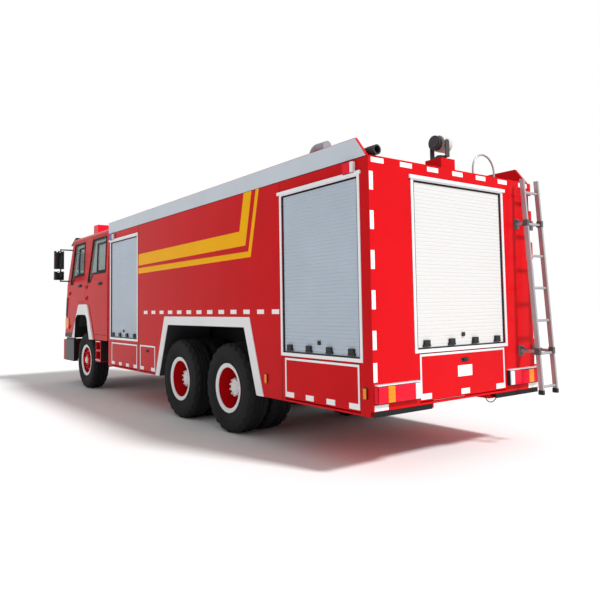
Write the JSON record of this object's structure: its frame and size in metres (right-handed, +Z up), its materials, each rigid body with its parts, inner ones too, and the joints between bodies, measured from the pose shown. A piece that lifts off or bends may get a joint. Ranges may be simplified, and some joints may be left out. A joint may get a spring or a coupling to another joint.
{
  "type": "fire truck",
  "caption": "Water tender fire engine on a three-axle chassis: tilting crew cab, tank body with roller shutters, fold-down flaps, roof monitor and rear ladder.",
  "frame": {"origin": "middle of the truck's length and width, on the ground", "axes": "+X forward, +Y to the truck's left, +Z up"},
  "size_m": [10.12, 3.04, 3.6905],
  "materials": {
    "red_paint": "gloss red paint",
    "dark_steel": "satin black chassis paint",
    "cast_grey": "cast and forged iron",
    "black_plastic": "moulded black plastic",
    "aluminium": "brushed aluminium",
    "shutter": "anodised slats",
    "grey_board": "grey paint",
    "white_trim": "white paint",
    "lens": "clear and coloured lenses",
    "glass": "tinted safety glass",
    "tyre": "black tyre",
    "hose": "ribbed black rubber",
    "interior": "dark trim",
    "bare_steel": "bare steel"
  },
  "bodies": {
    "chassis": {"frame": "dark_steel", "axles": "cast_grey", "engine": "cast_grey", "bumper": "black_plastic", "lamps": "lens", "steps": "red_paint", "water_tank": "red_paint", "locker_walls": "red_paint", "side_panels": "red_paint", "arch_liners": "dark_steel", "roof_deck": "red_paint", "side_boards": "grey_board", "shutters": "shutter", "trims": "aluminium", "ladder": "aluminium", "suction_hose": "hose"},
    "cab": {"cab_floor": "dark_steel", "cab_walls": "red_paint", "cab_front": "red_paint", "cab_roof": "red_paint", "cab_glass": "glass", "light_bar": "lens", "sun_visor": "black_plastic", "mirrors": "black_plastic", "flares": "white_trim", "cab_interior": "interior"},
    "front_door_left": {"front_door_left": "red_paint", "front_glass_left": "glass"},
    "front_door_right": {"front_door_right": "red_paint", "front_glass_right": "glass"},
    "rear_door_left": {"rear_door_left": "red_paint", "rear_glass_left": "glass"},
    "rear_door_right": {"rear_door_right": "red_paint", "rear_glass_right": "glass"},
    "steer_left": {"knuckle_left": "cast_grey"},
    "steer_right": {"knuckle_right": "cast_grey"},
    "tie_rod": {"tie_rod": "bare_steel"},
    "front_wheel_left": {"front_tyre_left": "tyre", "front_rim_left": "red_paint"},
    "front_wheel_right": {"front_tyre_right": "tyre", "front_rim_right": "red_paint"},
    "mid_wheels_left": {"mid_tyres_left": "tyre", "mid_rims_left": "red_paint"},
    "mid_wheels_right": {"mid_tyres_right": "tyre", "mid_rims_right": "red_paint"},
    "rear_wheels_left": {"rear_tyres_left": "tyre", "rear_rims_left": "red_paint"},
    "rear_wheels_right": {"rear_tyres_right": "tyre", "rear_rims_right": "red_paint"},
    "rear_flap_left": {"rear_flap_left": "red_paint"},
    "rear_flap_right": {"rear_flap_right": "red_paint"},
    "front_flap_left": {"front_flap_left": "red_paint"},
    "front_flap_right": {"front_flap_right": "red_paint"},
    "locker_left": {"locker_left": "red_paint"},
    "locker_right": {"locker_right": "red_paint"},
    "tail_flap": {"tail_flap": "red_paint"},
    "monitor_turret": {"monitor_turret": "bare_steel"},
    "monitor_barrel": {"monitor_barrel": "bare_steel"},
    "searchlight_yoke": {"searchlight_yoke": "dark_steel"},
    "searchlight_head": {"searchlight_head": "dark_steel"}
  },
  "joints": [
    {"name": "cab_tilt", "type": "hinge", "parent": "chassis", "child": "cab", "pos_m": [4.82, 0, 0.905], "axis": [0, 1, 0], "range_deg": [0, 45]},
    {"name": "front_door_left_swing", "type": "hinge", "parent": "cab", "child": "front_door_left", "pos_m": [4.54, 1.232, 1.5], "axis": [0, 0, -1], "range_deg": [0, 70]},
    {"name": "rear_door_left_swing", "type": "hinge", "parent": "cab", "child": "rear_door_left", "pos_m": [3.4, 1.232, 1.87], "axis": [0, 0, -1], "range_deg": [0, 70]},
    {"name": "front_door_right_swing", "type": "hinge", "parent": "cab", "child": "front_door_right", "pos_m": [4.54, -1.232, 1.5], "axis": [0, 0, 1], "range_deg": [0, 70]},
    {"name": "rear_door_right_swing", "type": "hinge", "parent": "cab", "child": "rear_door_right", "pos_m": [3.4, -1.232, 1.87], "axis": [0, 0, 1], "range_deg": [0, 70]},
    {"name": "steer_left_turn", "type": "hinge", "parent": "chassis", "child": "steer_left", "pos_m": [3.52, 0.825, 0.544], "axis": [0, 0, 1], "range_deg": [-32, 32]},
    {"name": "steer_right_turn", "type": "hinge", "parent": "chassis", "child": "steer_right", "pos_m": [3.52, -0.825, 0.544], "axis": [0, 0, 1], "range_deg": [-32, 32]},
    {"name": "tie_rod_turn", "type": "hinge", "parent": "steer_left", "child": "tie_rod", "pos_m": [3.32, 0.825, 0.41], "axis": [0, 0, 1], "range_deg": [-32, 32]},
    {"name": "front_wheel_left_spin", "type": "hinge", "parent": "steer_left", "child": "front_wheel_left", "pos_m": [3.52, 1.04, 0.544], "axis": [0, 1, 0], "continuous": true},
    {"name": "front_wheel_right_spin", "type": "hinge", "parent": "steer_right", "child": "front_wheel_right", "pos_m": [3.52, -1.04, 0.544], "axis": [0, 1, 0], "continuous": true},
    {"name": "mid_wheels_left_spin", "type": "hinge", "parent": "chassis", "child": "mid_wheels_left", "pos_m": [-0.8, 0.9025, 0.544], "axis": [0, 1, 0], "continuous": true},
    {"name": "mid_wheels_right_spin", "type": "hinge", "parent": "chassis", "child": "mid_wheels_right", "pos_m": [-0.8, -0.9025, 0.544], "axis": [0, 1, 0], "continuous": true},
    {"name": "rear_wheels_left_spin", "type": "hinge", "parent": "chassis", "child": "rear_wheels_left", "pos_m": [-2.15, 0.9025, 0.544], "axis": [0, 1, 0], "continuous": true},
    {"name": "rear_wheels_right_spin", "type": "hinge", "parent": "chassis", "child": "rear_wheels_right", "pos_m": [-2.15, -0.9025, 0.544], "axis": [0, 1, 0], "continuous": true},
    {"name": "rear_flap_left_drop", "type": "hinge", "parent": "chassis", "child": "rear_flap_left", "pos_m": [-4.038, 1.23, 0.581], "axis": [-1, 0, 0], "range_deg": [0, 90]},
    {"name": "rear_flap_right_drop", "type": "hinge", "parent": "chassis", "child": "rear_flap_right", "pos_m": [-4.038, -1.23, 0.581], "axis": [1, 0, 0], "range_deg": [0, 90]},
    {"name": "front_flap_left_drop", "type": "hinge", "parent": "chassis", "child": "front_flap_left", "pos_m": [1.275, 1.23, 0.581], "axis": [-1, 0, 0], "range_deg": [0, 90]},
    {"name": "front_flap_right_drop", "type": "hinge", "parent": "chassis", "child": "front_flap_right", "pos_m": [1.275, -1.23, 0.581], "axis": [1, 0, 0], "range_deg": [0, 90]},
    {"name": "locker_left_drop", "type": "hinge", "parent": "chassis", "child": "locker_left", "pos_m": [0.27, 1.23, 0.581], "axis": [-1, 0, 0], "range_deg": [0, 90]},
    {"name": "locker_right_drop", "type": "hinge", "parent": "chassis", "child": "locker_right", "pos_m": [0.27, -1.23, 0.581], "axis": [1, 0, 0], "range_deg": [0, 90]},
    {"name": "tail_flap_drop", "type": "hinge", "parent": "chassis", "child": "tail_flap", "pos_m": [-4.78, 0, 0.632], "axis": [0, -1, 0], "range_deg": [0, 90]},
    {"name": "monitor_yaw", "type": "hinge", "parent": "chassis", "child": "monitor_turret", "pos_m": [-2.36, 0, 3.23], "axis": [0, 0, 1], "range_deg": [-170, 170]},
    {"name": "monitor_pitch", "type": "hinge", "parent": "monitor_turret", "child": "monitor_barrel", "pos_m": [-2.36, 0, 3.42], "axis": [0, 1, 0], "range_deg": [-10, 70]},
    {"name": "searchlight_pan", "type": "hinge", "parent": "chassis", "child": "searchlight_yoke", "pos_m": [-4.475, -0.1, 3.07], "axis": [0, 0, 1], "range_deg": [-170, 170]},
    {"name": "searchlight_tilt", "type": "hinge", "parent": "searchlight_yoke", "child": "searchlight_head", "pos_m": [-4.475, -0.1, 3.2503], "axis": [1, 0, 0], "range_deg": [-30, 30]}
  ],
  "couplings": [
    {"joint": "steer_right_turn", "follows": "steer_left_turn", "ratio": 1},
    {"joint": "tie_rod_turn", "follows": "steer_left_turn", "ratio": -1}
  ]
}
